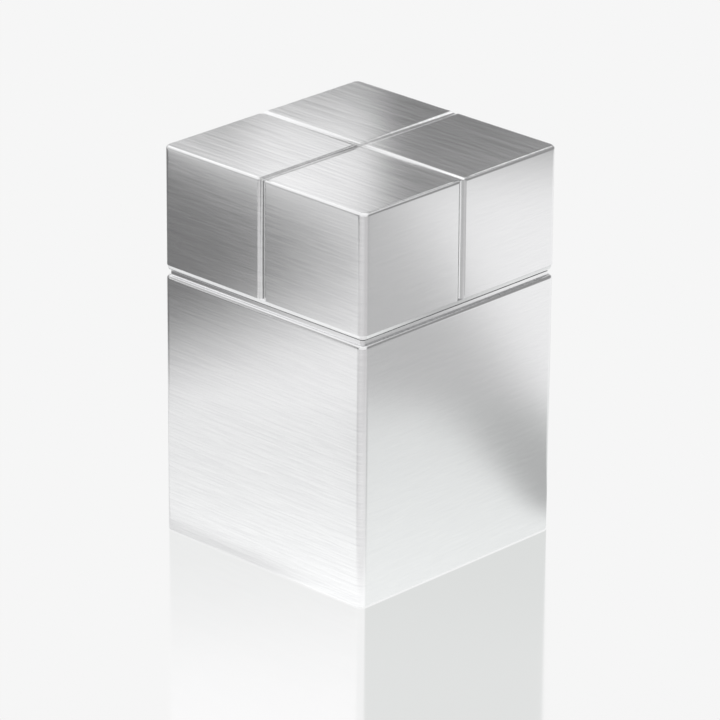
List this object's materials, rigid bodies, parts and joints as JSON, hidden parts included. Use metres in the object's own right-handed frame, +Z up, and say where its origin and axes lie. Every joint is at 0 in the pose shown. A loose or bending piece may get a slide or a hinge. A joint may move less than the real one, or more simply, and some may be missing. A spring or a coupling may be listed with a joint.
{
  "type": "cryptex",
  "caption": "Square metal cryptex: case with a sealed pack of code discs, and a turning, lift-off head of four cube blocks on a hollow vault.",
  "frame": {"origin": "centre of the underside, on the lock's axis", "axes": "+Z up, along the lock's axis, from the base to the head; +X and -Y are the normals of two neighbouring side faces, and the row of pegs on the vault points to -Y at rest"},
  "size_m": [0.05, 0.05, 0.075],
  "materials": {
    "satin_aluminium": "brushed, satin",
    "steel": "turned, bright",
    "spring_steel": "blued, satin",
    "nickel": "nickel plated, bright",
    "brass": "turned, satin",
    "bronze": "bearing bronze, turned",
    "white_plastic": "matte, waxy"
  },
  "bodies": {
    "body": {"body_case": "satin_aluminium", "base_plate": "satin_aluminium", "base_screws": "steel", "deck_bush": "bronze", "thrust_washer": "white_plastic", "spacer_ring_1": "steel", "spacer_ring_2": "steel", "spacer_ring_3": "steel", "spacer_ring_4": "steel", "spacer_ring_5": "steel", "disc_spring": "spring_steel", "retaining_ring": "spring_steel", "body_magnets": "nickel"},
    "drive": {"drive_ring": "steel", "drive_pin": "steel"},
    "head": {"head_plate": "satin_aluminium", "cube_front_left": "satin_aluminium", "cube_front_right": "satin_aluminium", "cube_back_left": "satin_aluminium", "cube_back_right": "satin_aluminium", "block_screws": "steel", "vault_tube": "satin_aluminium", "vault_pegs": "steel", "vault_screws": "steel", "head_magnets": "nickel"},
    "disc_1": {"code_disc_1": "brass", "disc_pins_1": "steel"},
    "disc_2": {"code_disc_2": "brass", "disc_pins_2": "steel"},
    "disc_3": {"code_disc_3": "brass", "disc_pins_3": "steel"},
    "disc_4": {"code_disc_4": "brass", "disc_pins_4": "steel"}
  },
  "joints": [
    {"name": "head_turn", "type": "hinge", "parent": "body", "child": "drive", "pos_m": [0, 0, 0.044], "axis": [0, 0, 1], "continuous": true},
    {"name": "head_lift", "type": "slide", "parent": "drive", "child": "head", "axis": [0, 0, 1], "range_m": [0, 0.06]},
    {"name": "disc_1_turn", "type": "hinge", "parent": "body", "child": "disc_1", "pos_m": [0, 0, 0.0202], "axis": [0, 0, 1], "continuous": true},
    {"name": "disc_2_turn", "type": "hinge", "parent": "body", "child": "disc_2", "pos_m": [0, 0, 0.0262], "axis": [0, 0, 1], "continuous": true},
    {"name": "disc_3_turn", "type": "hinge", "parent": "body", "child": "disc_3", "pos_m": [0, 0, 0.0322], "axis": [0, 0, 1], "continuous": true},
    {"name": "disc_4_turn", "type": "hinge", "parent": "body", "child": "disc_4", "pos_m": [0, 0, 0.0382], "axis": [0, 0, 1], "continuous": true}
  ]
}
